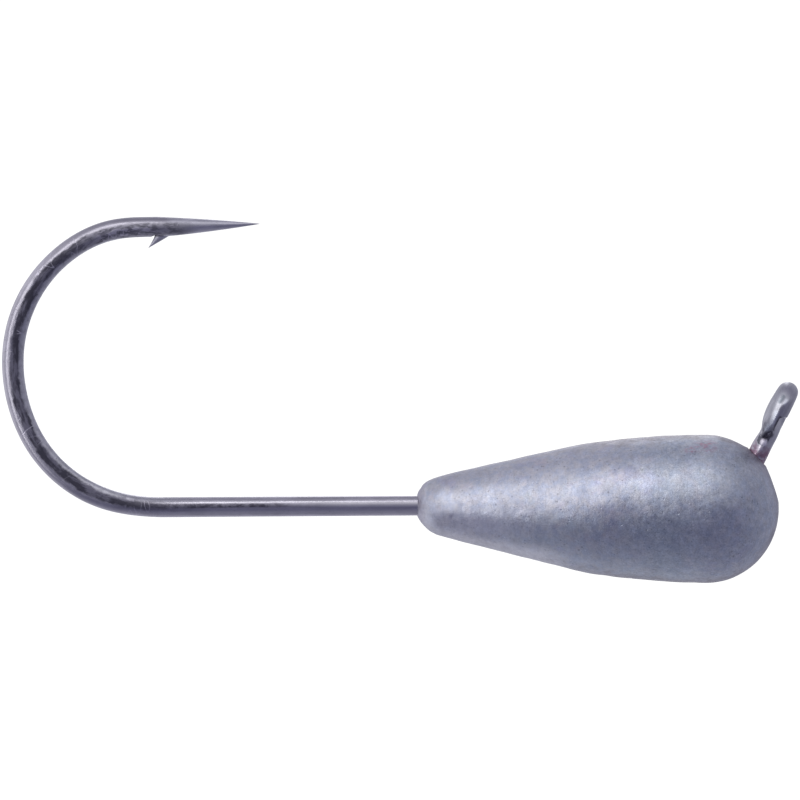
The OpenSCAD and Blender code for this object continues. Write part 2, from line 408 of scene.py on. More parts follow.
def hook_line():
    """The whole line of the wire from the tip of the point to its free end at the eye, and for
    each point its half widths: in the plane of the hook, and across it."""
    s, x, z = bend_line()
    total = s[-1]
    start_x = corner[0] - BEND_LEG - SHANK_RUN
    pts = [np.column_stack([start_x + x, 0 * x, shank_z + z])[::-1]]
    back = s[::-1]  # distance from the start of the bend
    w1 = np.full(len(s), WIRE_R)
    w2 = np.full(len(s), WIRE_R)
    # The bend is pressed a little flat, most at its back
    press = smooth_step(back, 1.0, 4.5) * (1 - smooth_step(back, 15.5, 20.5))
    press += 0.35 * smooth_step(back, 15.5, 20.5) * (1 - smooth_step(back, 22.0, 25.5))
    w1 += 0.042 * press
    w2 -= 0.055 * press
    ground = np.clip((total - back) / POINT_LEN, 0, 1)
    ogive = 0.012 + (WIRE_R - 0.024) * ground * (1 + 0.36 * (1 - ground))
    tip = total - back < POINT_LEN
    w1[tip], w2[tip] = ogive[tip], ogive[tip]
    ws1, ws2, flats = [w1], [w2], [press]

    # Shank, then the jig bend, which the casting hides
    n = int(SHANK_RUN / DS)
    t = np.linspace(0, 1, n + 1)[1:]
    pts.append(
        np.column_stack([start_x + t * SHANK_RUN, 0 * t, np.full(n, shank_z)])
    )
    turn = np.linspace(0, STEM_A, int(2.0 * STEM_A / DS) + 1)[1:]
    pts.append(
        np.column_stack(
            [
                corner[0] - BEND_LEG + 2.0 * np.sin(turn),
                0 * turn,
                shank_z + 2.0 * (1 - np.cos(turn)),
            ]
        )
    )
    for part in pts[1:]:
        ws1.append(np.full(len(part), WIRE_R))
        ws2.append(np.full(len(part), WIRE_R))
        flats.append(np.zeros(len(part)))

    # Stem and eye, in (across, up the stem, out from the stem), from the centre of the ring.
    # The wire turns off behind the neck, goes round, and its tapered end lies down the front.
    # Each row ends with its half widths: out from the stem, and across it or radial.
    R = 1.157
    ctrl = [
        (0.0, q, EYE_OFF, 0.565, 0.56)
        for q in np.arange(-STEM_LEN + BEND_LEG + 0.25, -2.3, 0.35)
    ]
    ctrl.append((0.0, -2.2, 0.056, 0.556, 0.56))
    for turn, out, wide in (
        (0, 0.085, 0.53), (14, 0.1, 0.515), (28, 0.105, 0.515), (42, 0.1, 0.52), (55, 0.09, 0.53),
    ):
        b = math.radians(turn)
        ctrl.append((0.8 * (1 - math.cos(b)), -1.817 + 0.8 * math.sin(b), out, wide, 0.555))
    ctrl.append((0.5, -1.05, 0.075, 0.545, 0.557))
    for phi in np.arange(36, 275, 13.0):
        b = math.radians(phi)
        out = np.interp(phi, [36, 60, 100, 150, 185, 225, 262, 300],
                        [0.07, 0.07, 0.055, 0.045, 0.02, -0.02, -0.058, -0.062])
        wide = np.interp(phi, [36, 70, 120, 190, 225, 262, 285],
                         [0.552, 0.578, 0.572, 0.59, 0.625, 0.662, 0.655])
        ctrl.append((R * math.sin(b), -R * math.cos(b), out, wide, 0.557))
    ctrl += [
        (-1.142, -0.28, -0.062, 0.65, 0.55),
        (-1.10, -0.56, -0.062, 0.63, 0.53),
        (-1.035, -0.83, -0.065, 0.59, 0.475),
        (-0.965, -1.08, -0.075, 0.51, 0.405),
        (-0.905, -1.31, -0.095, 0.41, 0.335),
        (-0.865, -1.50, -0.12, 0.30, 0.27),
        (-0.835, -1.66, -0.16, 0.21, 0.20),
        (-0.805, -1.78, -0.195, 0.14, 0.14),
        (-0.785, -1.86, -0.22, 0.085, 0.085),
    ]
    ctrl = np.array(ctrl)
    first = np.array([0.0, -STEM_LEN + BEND_LEG, EYE_OFF, WIRE_R, WIRE_R])
    ctrl = np.vstack([first, ctrl])
    chord = np.concatenate([[0], np.cumsum(np.linalg.norm(np.diff(ctrl[:, :3], axis=0), axis=1))])
    at = np.arange(0, chord[-1], DS)
    line = np.column_stack([spline(chord, ctrl[:, i], at) for i in range(3)])
    pts.append(
        line[1:, 0:1] * side + line[1:, 1:2] * stem_q + line[1:, 2:3] * stem_n
    )
    ws1.append(np.interp(at, chord, ctrl[:, 3])[1:])
    ws2.append(np.interp(at, chord, ctrl[:, 4])[1:])
    flats.append(np.zeros(len(at) - 1))
    return (np.vstack(pts), np.concatenate(ws1), np.concatenate(ws2), np.concatenate(flats), total)


def spline(t, v, at):
    """Natural cubic spline through (t, v)."""
    n = len(t)
    h = np.diff(t)
    a = np.zeros((n, n))
    b = np.zeros(n)
    a[0, 0] = a[-1, -1] = 1
    for i in range(1, n - 1):
        a[i, i - 1], a[i, i], a[i, i + 1] = h[i - 1], 2 * (h[i - 1] + h[i]), h[i]
        b[i] = 6 * ((v[i + 1] - v[i]) / h[i] - (v[i] - v[i - 1]) / h[i - 1])
    m = np.linalg.solve(a, b)
    i = np.clip(np.searchsorted(t, at, side="right") - 1, 0, n - 2)
    d0, d1 = at - t[i], t[i + 1] - at
    return (
        (m[i] * d1**3 + m[i + 1] * d0**3) / (6 * h[i])
        + (v[i] / h[i] - m[i] * h[i] / 6) * d1
        + (v[i + 1] / h[i] - m[i + 1] * h[i] / 6) * d0
    )


def frames(line):
    """Tangent, and two directions across the wire that turn with it as little as they can: the
    first starts in the plane of the hook, the second across it."""
    t = np.gradient(line, axis=0)
    t /= np.linalg.norm(t, axis=1)[:, None]
    e2 = np.zeros_like(line)
    e = side.copy()
    for i in range(len(line)):
        e = e - (e @ t[i]) * t[i]
        e = e / np.linalg.norm(e)
        e2[i] = e
    return t, np.cross(e2, t), e2


line, half1, half2, flat, POINT_END = hook_line()
win = np.exp(-((np.arange(-0.5, 0.51, DS) / 0.2) ** 2) / 2)
win /= win.sum()
pad = len(win) // 2
half1, half2 = (
    np.convolve(np.pad(h, pad, mode="reflect", reflect_type="odd"), win, "valid")
    for h in (half1, half2)
)
tan, across1, across2 = frames(line)
run_s = np.concatenate([[0], np.cumsum(np.linalg.norm(np.diff(line, axis=0), axis=1))])


BEADS = [
    (np.array([-0.89, -0.60, -1.84]), 0.19, 0.065),
    (np.array([-1.10, -0.57, -2.20]), 0.14, 0.050),
    (np.array([-0.96, -0.55, -2.52]), 0.13, 0.035),
    (np.array([-1.38, -0.48, -2.52]), 0.16, 0.040),
]


def dress_eye(pts, mid, run):
    """The last turn of the eye, which the forming tool left with a low ridge down its outer side,
    and a flat where its tapered end lies beside the stem. Moves pts in place."""
    q, out = pts @ stem_q, pts @ stem_n
    last = smooth_step(run, run_s[-1] - 4.4, run_s[-1] - 3.9)
    crest = -0.03 + 0.27 * smooth_step(q, 0.15, 0.75)
    rise = np.clip((out - crest + 0.26) / 0.26, 0, 1) ** 2
    fall = np.clip((crest + 0.54 - out) / 0.54, 0, 1)
    reach = smooth_step(q, -1.35, -0.95) * (1 - smooth_step(q, 0.75, 1.1))
    reach = reach * (1 + 0.6 * smooth_step(q, 0.3, 0.7))
    outer = smooth_step(mid[:, 1] - pts[:, 1], 0.0, 0.3)
    pts[:, 1] -= 0.048 * rise * fall * reach * outer * last
    edge = 0.215 + 0.48 * smooth_step(q, -0.46, -0.12)
    soft = 0.015
    over = soft * np.log1p(np.exp(np.clip((out - edge) / soft, -40, 40)))
    pts -= (over * last)[:, None] * stem_n


def sweep(name, at, columns, grow=0.0, rough=True):
    """A closed tube along the wire, with a ring at each distance in at."""
    ring = {}
    for key, value in (
        ("c", line), ("a", across1), ("b", across2),
    ):
        ring[key] = np.column_stack([np.interp(at, run_s, value[:, i]) for i in range(3)])
    h1, h2 = np.interp(at, run_s, half1), np.interp(at, run_s, half2)
    f = np.interp(at, run_s, flat)
    ang = np.linspace(0, 2 * math.pi, columns, endpoint=False)
    c, s = np.cos(ang), np.sin(ang)
    # A pressed section is squarer than an ellipse: flats at the two sides
    power = 2 / (2 + 1.1 * f)[:, None]
    u = np.sign(c) * np.abs(c) ** power * (h1 + grow)[:, None]
    v = np.sign(s) * np.abs(s) ** power * (h2 + grow)[:, None]
    if rough:
        tube = np.column_stack([
            np.tile(c, len(at)), np.tile(s, len(at)), np.repeat(at, columns)
        ])
        size = np.repeat(np.clip(np.minimum(h1, h2) / WIRE_R, 0.05, 1), columns)
        on_bend = np.repeat(np.clip(f, 0, 1), columns)
        wobble = 0.0022 * noise(tube * [1.3, 1.3, 0.5] + 2.2, 21)
        wobble += (0.0012 + 0.0022 * on_bend) * noise(tube * [2.2, 2.2, 1.9] + 9.1, 22)
        wobble = (wobble * size).reshape(len(at), columns)
        u, v = u + wobble * c, v + wobble * s
    pts = (
        ring["c"][:, None]
        + u[:, :, None] * ring["a"][:, None]
        + v[:, :, None] * ring["b"][:, None]
    ).reshape(-1, 3)
    if rough:
        # A bead of lead that ran up the front of the neck when the head was cast
        for spot, size, lift in BEADS:
            gap = np.linalg.norm(pts - spot, axis=1)
            radial = pts - np.repeat(ring["c"], columns, axis=0)
            radial /= np.linalg.norm(radial, axis=1)[:, None]
            pts = pts + (lift * np.exp(-((gap / size) ** 2)))[:, None] * radial
        dress_eye(pts, np.repeat(ring["c"], columns, axis=0), np.repeat(at, columns))
    m, n = len(at), columns
    tips = [ring["c"][0] - np.interp(at[0], run_s, half1) * 0.5 * np.array([np.interp(at[0], run_s, tan[:, i]) for i in range(3)]),
            ring["c"][-1] + np.interp(at[-1], run_s, half1) * 0.45 * np.array([np.interp(at[-1], run_s, tan[:, i]) for i in range(3)])]
    idx = np.arange(m * n).reshape(m, n)
    nxt = np.roll(idx, -1, axis=1)
    faces = []
    for i in range(m - 1):
        faces += np.column_stack([idx[i], nxt[i], nxt[i + 1], idx[i + 1]]).tolist()
    faces += np.column_stack([np.full(n, m * n), nxt[0], idx[0]]).tolist()
    faces += np.column_stack([np.full(n, m * n + 1), idx[-1], nxt[-1]]).tolist()
    return make_object(name, np.vstack([pts, tips]), faces)


def barb_shell():
    """Sliver cut up from the inner side of the point and raked back. It tapers to an edge, and
    its root is let into the wire."""
    base = np.interp(POINT_LEN, run_s, np.arange(len(line)))
    i0 = int(round(base))
    o, ax = line[i0], -tan[i0]
    up = across1[i0] if across1[i0] @ np.array([0, 0, -1.0]) > 0 else -across1[i0]
    shift = POINT_LEN - 5.13
    front = [(0.30, 0.30), (0.02, 0.52), (-0.30, 0.69), (-1.242, 1.215)]
    rear = [(-0.80, 0.18), (-0.80, 0.44), (-0.86, 0.62), (-1.238, 1.213)]
    steps, around = 26, 20
    verts, faces = [], []

    def bez(pts, t):
        p = np.array(pts)
        return (
            (1 - t) ** 3 * p[0] + 3 * (1 - t) ** 2 * t * p[1] + 3 * (1 - t) * t * t * p[2] + t**3 * p[3]
        )

    for i in range(steps + 1):
        t = (i / steps) ** 0.9
        f, r = bez(front, t), bez(rear, t)
        mid, half = (f + r) / 2, (f - r) / 2
        thick = 0.27 * (1 - t) ** 0.75 + 0.010
        for j in range(around):
            a = 2 * math.pi * j / around
            q = mid + half * math.copysign(abs(math.cos(a)) ** 0.85, math.cos(a))
            verts.append(o + (q[0] + shift) * ax + q[1] * up + thick * math.sin(a) * side)
    for i in range(steps):
        for j in range(around):
            k = (j + 1) % around
            faces.append((i * around + j, i * around + k, (i + 1) * around + k, (i + 1) * around + j))
    faces.append(tuple(range(around))[::-1])
    faces.append(tuple(steps * around + j for j in range(around)))
    return make_object("barb_shell", verts, faces), (o, ax, up, shift)


def notch_shell(place):
    """Wedge of the cut that raised the barb, behind and a little under its root."""
    o, ax, up, shift = place
    outline = [(-0.80, 0.66), (-0.66, 0.455), (-0.83, 0.475), (-1.30, 0.66)]
    verts = [
        o + (x + shift) * ax + y * up + w * side
        for w in (-0.62, 0.62)
        for x, y in outline
    ]
    faces = [(0, 1, 2, 3), (7, 6, 5, 4)] + [
        (i, (i + 1) % 4, (i + 1) % 4 + 4, i + 4) for i in range(4)
    ]
    return make_object("notch_shell", verts, faces)


def build_hook():
    total = run_s[-1]
    at = [0.0]
    while at[-1] < total - 0.03:
        s = at[-1]
        step = 0.1
        if s < 1.2:
            step = 0.05
        if s > total - 12.5:
            step = 0.08
        if s > total - 1.2:
            step = 0.05
        at.append(min(s + step, total - 0.02))
    hook = sweep("hook_wire", np.array(at), 64)
    barb, place = barb_shell()
    combine(hook, notch_shell(place), "DIFFERENCE")
    combine(hook, barb, "UNION")
    finish_mesh(hook, 50)
    return hook


def tube_coordinates(obj):
    """Stores on each vertex where it is on the wire: (across, across, along) in millimetres, for
    the marks that run along and round it."""
    tree = KDTree(len(line[::4]))
    for i, p in enumerate(line[::4]):
        tree.insert(p, i)
    tree.balance()
    co = np.zeros(len(obj.data.vertices) * 3)
    obj.data.vertices.foreach_get("co", co)
    co = co.reshape(-1, 3) / MM
    near = np.array([tree.find(p)[1] for p in co]) * 4
    rel = co - line[near]
    out = np.column_stack([
        (rel * across1[near]).sum(1),
        (rel * across2[near]).sum(1),
        run_s[near] + (rel * tan[near]).sum(1),
    ])
    layer = obj.data.attributes.new("tube", "FLOAT_VECTOR", "POINT")
    layer.data.foreach_set("vector", out.astype(np.float32).ravel())

    # How far each vertex is from a part of the wire that passes by it, for the painted shade and grime between
    gaps = np.full(len(co), 1.0)
    eye = np.flatnonzero(out[:, 2] > run_s[-1] - 13)
    rows = np.flatnonzero(run_s > run_s[-1] - 13)[::3]
    width = (half1[rows] + half2[rows]) / 2
    for i in eye:
        gap = np.linalg.norm(line[rows] - co[i], axis=1) - width
        gap[np.abs(run_s[rows] - out[i, 2]) < 3.0] = 1.0
        gaps[i] = min(gap.min(), 1.0)
    layer = obj.data.attributes.new("crevice", "FLOAT", "POINT")
    layer.data.foreach_set("value", gaps.astype(np.float32))


# ------------------------------------------------------------------ build

hook = build_hook()
tube_coordinates(hook)
head = build_head()
# The channel that the wire fills, a hair wider than the wire
enter = np.interp(corner[0] - 22.5, line[:, 0][int(POINT_END / DS):int((POINT_END + SHANK_RUN) / DS)],
                  run_s[int(POINT_END / DS):int((POINT_END + SHANK_RUN) / DS)])
leave = POINT_END + SHANK_RUN + 2.0 * STEM_A + (STEM_LEN - BEND_LEG - 2.15)
channel = sweep("channel", np.arange(enter, leave, 0.12), 44, grow=0.014, rough=False)
combine(head, channel, "DIFFERENCE")
finish_mesh(head)


# ------------------------------------------------------------------ node helpers


class Nodes:
    """Short ways to add nodes to a tree. Values are numbers, tuples or other nodes' outputs."""

    def __init__(self, tree):
        self.tree = tree
        tree.nodes.clear()

    def add(self, kind, values=(), **settings):
        node = self.tree.nodes.new(kind)
        for key, value in settings.items():
            setattr(node, key, value)
        for key, value in dict(values).items():
            self.put(node.inputs[key], value)
        return node

    def put(self, socket, value):
        if isinstance(value, bpy.types.NodeSocket):
            self.tree.links.new(value, socket)
        elif isinstance(value, tuple) and len(value) == 3 and socket.type == "RGBA":
            socket.default_value = (*value, 1)
        else:
            socket.default_value = value

    def math(self, operation, *values):
        return self.add("ShaderNodeMath", enumerate(values), operation=operation).outputs[0]

    def vector(self, operation, *values):
        node = self.add("ShaderNodeVectorMath", enumerate(values), operation=operation)
        return node.outputs["Value" if operation in ("DOT_PRODUCT", "LENGTH") else "Vector"]

    def total(self, *values):
        out = values[0]
        for value in values[1:]:
            out = self.math("ADD", out, value)
        return out

    def times(self, *values):
        out = values[0]
        for value in values[1:]:
            out = self.math("MULTIPLY", out, value)
        return out

    def noise(self, at, scale, detail=3.0, rough=0.5, shift=0.0, twist=0.0):
        """Noise from 0 to 1, mostly 0.3 to 0.7, with scale cells to the millimetre; scale may
        differ along the three axes."""
        if not isinstance(scale, tuple):
            scale = (scale, scale, scale)
        spot = self.add(
            "ShaderNodeVectorMath",
            {0: at, 1: scale, 2: (shift, 1.7 * shift, -0.6 * shift)},
            operation="MULTIPLY_ADD",
        ).outputs["Vector"]
        return self.add(
            "ShaderNodeTexNoise",
            {"Vector": spot, "Scale": 1.0, "Detail": detail, "Roughness": rough, "Distortion": twist},
        ).outputs[0]

    def cells(self, at, scale, shift=0.0, spread=1.0):
        """Distance to the nearest of scattered spots, in cells."""
        spot = self.add(
            "ShaderNodeVectorMath",
            {0: at, 1: (scale, scale, scale), 2: (shift, shift, shift)},
            operation="MULTIPLY_ADD",
        ).outputs["Vector"]
        return self.add(
            "ShaderNodeTexVoronoi", {"Vector": spot, "Scale": 1.0, "Randomness": spread}
        ).outputs["Distance"]

    def ramp(self, value, low, high, out_low=0.0, out_high=1.0):
        """Smooth step from out_low at low to out_high at high."""
        return self.add(
            "ShaderNodeMapRange",
            {"Value": value, "From Min": low, "From Max": high, "To Min": out_low, "To Max": out_high},
            interpolation_type="SMOOTHSTEP",
        ).outputs[0]

    def mix(self, amount, first, second, blend="MIX"):
        node = self.tree.nodes.new("ShaderNodeMix")
        node.data_type, node.blend_type, node.clamp_factor = "RGBA", blend, True
        self.put(node.inputs["Factor"], amount)
        self.put(node.inputs[6], first)
        self.put(node.inputs[7], second)
        return node.outputs[2]

    def grey(self, value):
        return self.add("ShaderNodeCombineColor", {0: value, 1: value, 2: value}).outputs[0]

    def near(self, at, spot, radius, soft=0.5):
        """1 inside a ball round the spot, fading out by its radius."""
        gap = self.vector("LENGTH", self.vector("SUBTRACT", at, tuple(spot)))
        return self.ramp(gap, radius * (1 - soft), radius, 1.0, 0.0)


def new_material(name):
    mat = bpy.data.materials.new(name)
    mat.use_nodes = True
    g = Nodes(mat.node_tree)
    bsdf = g.add("ShaderNodeBsdfPrincipled")
    g.add("ShaderNodeOutputMaterial", {"Surface": bsdf.outputs[0]})
    return mat, g, bsdf


# ------------------------------------------------------------------ materials


def lead_material():
    """Bare cast lead that has been handled: dull satin grey, clouded blue, violet and green by its
    oxide, dirtied where the mould halves met and darker round the wire, with painted contact shadow
    in the crease at the stem and painted light on the underside of its thin end."""
    mat, g, bsdf = new_material("lead")
    at = g.vector("MULTIPLY", g.add("ShaderNodeTexCoord").outputs["Object"], (1000.0,) * 3)
    xyz = g.add("ShaderNodeSeparateXYZ", {0: at})
    x, y, z = (xyz.outputs[i] for i in range(3))

    # Oxide clouds
    broad = g.noise(at, 0.42, 5, 0.6, 3.1)
    mid = g.noise(at, 1.5, 4, 0.62, 8.4)
    fine = g.noise(at, 4.2, 3, 0.65, 1.9)
    speck = g.noise(at, 9.5, 2, 0.6, 6.6)
    wear_and_painted_highlight = g.ramp(x, -11.5, -6.5, 1.0, 1.75)  # the fat end is the more handled and mottled
    tone = g.total(
        g.times(g.math("SUBTRACT", broad, 0.5), 1.1),
        g.times(wear_and_painted_highlight, g.math("SUBTRACT", mid, 0.5), 1.1),
        g.times(wear_and_painted_highlight, g.math("SUBTRACT", fine, 0.5), 0.95),
        0.5,
    )
    colour = g.mix(g.ramp(tone, 0.05, 0.95), (0.350, 0.372, 0.440), (0.520, 0.532, 0.582))
    for scale, shift, low, high, most, tint in (
        (0.55, 21.0, 0.53, 0.68, 0.55, (0.415, 0.385, 0.520)),  # violet
        (0.62, 34.0, 0.55, 0.69, 0.45, (0.408, 0.458, 0.466)),  # green grey
        (0.70, 47.0, 0.53, 0.68, 0.50, (0.520, 0.458, 0.500)),  # pinkish
        (0.50, 58.0, 0.55, 0.68, 0.45, (0.345, 0.400, 0.490)),  # blue
    ):
        patch = g.ramp(g.noise(at, scale, 5, 0.70, shift), low, high, 0.0, most)
        colour = g.mix(patch, colour, tint)
    warmth = g.ramp(g.noise(at, 2.1, 4, 0.66, 44.0), 0.36, 0.64)
    colour = g.mix(0.34, colour, g.mix(warmth, (0.375, 0.425, 0.545), (0.520, 0.490, 0.475)))
    # The fat end has weathered a little bluer
    colour = g.mix(g.ramp(x, -10.5, -6.0, 0.0, 0.34), colour, (0.370, 0.432, 0.478))

    low = g.times(g.ramp(z, float(shank_z), float(shank_z) - 1.0), g.ramp(x, -18.5, -15.0), g.ramp(x, -3.5, -7.0))
    colour = g.mix(g.times(low, 0.26), colour, (0.372, 0.456, 0.488))

    # The thin end is painted paler along its underside: painted light from below, partly paler metal
    lowness = g.math("DIVIDE", g.math("SUBTRACT", float(shank_z), z),
                     g.math("MULTIPLY_ADD", x, 0.242, 6.36))
    painted_under_rim_light = g.times(g.ramp(x, -11.5, -14.0), g.ramp(x, -20.0, -18.8), g.ramp(lowness, 0.70, 0.96))
    colour = g.mix(g.times(painted_under_rim_light, 0.70), colour, (0.700, 0.705, 0.735))
    # Painted light low on the tail, partly paler metal
    painted_low_tail_light = g.times(g.ramp(x, -12.5, -16.0), g.ramp(z, float(shank_z) + 0.15, float(shank_z) - 0.45),
                   g.ramp(z, float(shank_z) - 2.1, float(shank_z) - 1.2))
    colour = g.mix(g.times(painted_low_tail_light, 0.50), colour, (0.640, 0.655, 0.705))

    # Grime in the skin: smears that follow the mould, dark grains, and rubbed bright grains
    smear = g.noise(at, (4.6, 1.3, 1.3), 4, 0.62, 71.0, 0.6)
    blots = g.noise(at, 2.9, 4, 0.7, 36.0, 0.5)
    grain_dark = g.times(
        g.ramp(g.cells(at, 3.1, 4.2), 0.10, 0.24, 1.0, 0.0),
        g.ramp(g.noise(at, 0.9, 2, 0.5, 13.0), 0.46, 0.60),
    )
    tiny_dark = g.times(
        g.ramp(g.cells(at, 6.7, 9.3), 0.14, 0.30, 1.0, 0.0),
        g.ramp(g.noise(at, 1.3, 2, 0.5, 17.0), 0.44, 0.60),
    )
    bright = g.times(
        g.ramp(g.cells(at, 5.2, 1.4), 0.10, 0.26, 1.0, 0.0),
        g.ramp(g.noise(at, 1.1, 2, 0.5, 29.0), 0.50, 0.62),
    )
    shade = g.total(
        1.0,
        g.times(g.math("SUBTRACT", smear, 0.5), 0.30),
        g.times(wear_and_painted_highlight, g.math("SUBTRACT", speck, 0.5), 0.36),
        g.times(wear_and_painted_highlight, g.math("SUBTRACT", blots, 0.5), 0.30),
        g.times(grain_dark, -0.30),
        g.times(tiny_dark, -0.22),
        g.times(bright, 0.16),
    )
    colour = g.mix(1.0, colour, g.grey(shade), "MULTIPLY")

    # Brownish and grainy near the parting plane, top and bottom
    gap = g.math("ABSOLUTE", y)
    ragged = g.times(g.math("SUBTRACT", g.noise(at, 0.9, 5, 0.72, 41.0), 0.5), 3.2)
    seam = g.ramp(g.math("ADD", gap, ragged), 0.5, 2.1, 1.0, 0.0)
    rust = g.mix(g.ramp(g.noise(at, 3.3, 3, 0.7, 52.0), 0.42, 0.60),
                 (0.400, 0.385, 0.400), (0.270, 0.245, 0.245))
    colour = g.mix(g.times(seam, g.ramp(x, -13.5, -9.5, 0.30, 0.72)), colour, rust)
    line_gap = g.math("ADD", gap, g.times(g.math("SUBTRACT", g.noise(at, 3.0, 2, 0.5, 3.3), 0.5), 0.10))
    colour = g.mix(g.ramp(line_gap, 0.03, 0.10, 0.45, 0.0), colour, (0.16, 0.15, 0.17))

    # A stain of red rust from the wire, on the side of the upper nose and where the stem leaves
    blot = g.times(
        g.ramp(g.noise(at, 3.4, 4, 0.7, 61.0), 0.40, 0.58),
        g.math("MAXIMUM",
               g.near(at, (-4.25, -2.15, -2.02), 0.95, 0.8),
               g.near(at, (-5.1, -2.5, -2.25), 0.5, 0.9)),
    )
    colour = g.mix(g.times(blot, 0.75), colour, (0.43, 0.235, 0.300))
    to_stem = g.vector("SUBTRACT", at, tuple(corner))
    up_stem = g.vector("DOT_PRODUCT", to_stem, tuple(stem_q))
    scaled = g.add("ShaderNodeCombineXYZ", {
        0: g.times(up_stem, float(stem_q[0])), 1: 0.0, 2: g.times(up_stem, float(stem_q[2]))
    }).outputs[0]
    off_stem = g.vector("LENGTH", g.vector("SUBTRACT", to_stem, scaled))
    by_stem = g.times(g.ramp(up_stem, 1.0, 2.0), g.ramp(
        g.math("ADD", off_stem, g.times(g.math("SUBTRACT", g.noise(at, 2.2, 4, 0.65, 66.0), 0.5), 1.5)),
        0.62, 2.7, 1.0, 0.0))
    colour = g.mix(g.times(by_stem, 0.62), colour, (0.255, 0.248, 0.300))
    # A dark reddish line in the crease round the stem: residue, and painted contact shadow
    crease = g.times(g.ramp(up_stem, 1.0, 2.0), g.ramp(
        g.math("ADD", off_stem, g.times(g.math("SUBTRACT", g.noise(at, 4.0, 3, 0.6, 68.0), 0.5), 0.35)),
        0.60, 0.86, 1.0, 0.0))
    colour = g.mix(g.times(crease, 0.8), colour, (0.205, 0.095, 0.115))
    # Darker round the shank where it leaves the tail
    off_shank = g.vector("LENGTH", g.add("ShaderNodeCombineXYZ", {
        0: 0.0, 1: y, 2: g.math("SUBTRACT", z, float(shank_z))}).outputs[0])
    by_tail = g.times(g.ramp(x, -19.9, -20.3), g.ramp(
        g.math("ADD", off_shank, g.times(g.math("SUBTRACT", g.noise(at, 2.6, 4, 0.65, 77.0), 0.5), 1.1)),
        0.60, 1.45, 1.0, 0.0))
    colour = g.mix(g.times(by_tail, 0.55), colour, (0.262, 0.238, 0.305))

    # Skin: slow waves, cast orange peel, smears and grain, pits, and brush scratches (heights in mm)
    pits = g.times(g.ramp(g.cells(at, 2.3, 6.1), 0.05, 0.17, 1.0, 0.0),
                   g.ramp(g.noise(at, 0.8, 2, 0.5, 19.0), 0.48, 0.58))
    scratch_at = g.add("ShaderNodeMapping", {
        "Vector": at, "Rotation": (0.0, math.radians(38), 0.0), "Scale": (7.5, 1.0, 0.55)
    }).outputs[0]
    scratch = g.times(
        g.ramp(g.math("ABSOLUTE", g.math("SUBTRACT", g.noise(scratch_at, 1.0, 2, 0.5, 5.0), 0.5)), 0.0, 0.035, 1.0, 0.0),
        g.ramp(g.noise(at, 0.5, 2, 0.5, 88.0), 0.47, 0.60),
    )
    height = g.total(
        g.times(g.noise(at, 0.75, 2, 0.5, 91.0), 0.030),
        g.times(mid, 0.016),
        g.times(wear_and_painted_highlight, fine, 0.0042),
        g.times(g.noise(at, (5.2, 1.3, 1.3), 3, 0.6, 95.0, 0.6), 0.0042),
        g.times(wear_and_painted_highlight, blots, 0.0052),
        g.times(wear_and_painted_highlight, speck, 0.0015),
        g.times(pits, -0.010),
        g.times(grain_dark, -0.0022),
        g.times(scratch, -0.0016),
        g.times(seam, g.noise(at, 5.0, 3, 0.7, 99.0), 0.008),
    )
    bump = g.add("ShaderNodeBump", {"Height": height, "Strength": 1.0, "Distance": 0.001})
    rough = g.total(
        0.415,
        g.times(g.math("SUBTRACT", g.noise(at, 1.1, 4, 0.6, 83.0), 0.5), 0.34),
        g.times(g.math("SUBTRACT", fine, 0.5), 0.16),
        g.times(seam, 0.08),
        g.times(by_stem, 0.06),
    )
    g.put(bsdf.inputs["Base Color"], colour)
    g.put(bsdf.inputs["Roughness"], g.math("MINIMUM", g.math("MAXIMUM", rough, 0.27), 0.62))
    g.put(bsdf.inputs["Normal"], bump.outputs[0])
    bsdf.inputs["Metallic"].default_value = 1.0
    return mat


# Distance along the wire at which the eye begins
EYE_S = float(POINT_END + SHANK_RUN + 2.0 * STEM_A + (STEM_LEN - BEND_LEG - 2.6))


